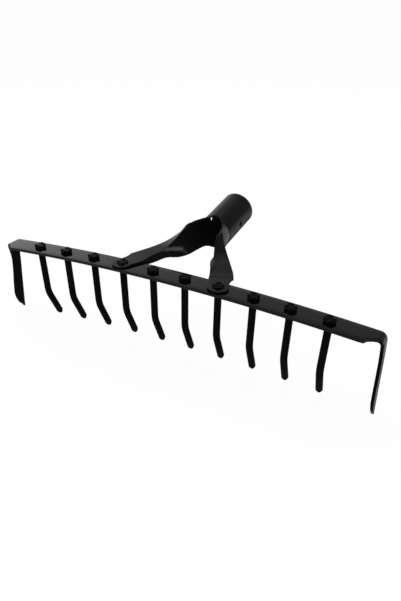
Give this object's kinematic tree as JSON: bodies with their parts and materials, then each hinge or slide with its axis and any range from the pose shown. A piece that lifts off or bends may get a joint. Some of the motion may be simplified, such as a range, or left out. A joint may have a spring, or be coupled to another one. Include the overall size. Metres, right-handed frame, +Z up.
{
  "type": "garden rake head",
  "caption": "Bow-free garden rake head: arched steel bar with riveted round tines, flat end tines and a forked handle socket.",
  "frame": {"origin": "centre of the round mouth of the handle socket", "axes": "X along the bar from end tine to end tine, +Y from the bar towards the handle, +Z up, away from the tine tips; the socket's axis leans 9.84 degrees up from +Y"},
  "size_m": [0.3564, 0.1425, 0.1116],
  "materials": {
    "bar_paint": "glossy black paint on rolled flat steel",
    "fork_paint": "glossy black paint on pressed sheet steel",
    "tine_paint": "glossy black paint on round steel bar"
  },
  "bodies": {
    "root": {"rake_bar": "bar_paint", "socket_fork": "fork_paint", "tine_01": "tine_paint", "tine_02": "tine_paint", "tine_03": "tine_paint", "tine_04": "tine_paint", "tine_05": "tine_paint", "tine_06": "tine_paint", "tine_07": "tine_paint", "tine_08": "tine_paint", "tine_09": "tine_paint", "tine_10": "tine_paint"}
  },
  "joints": []
}
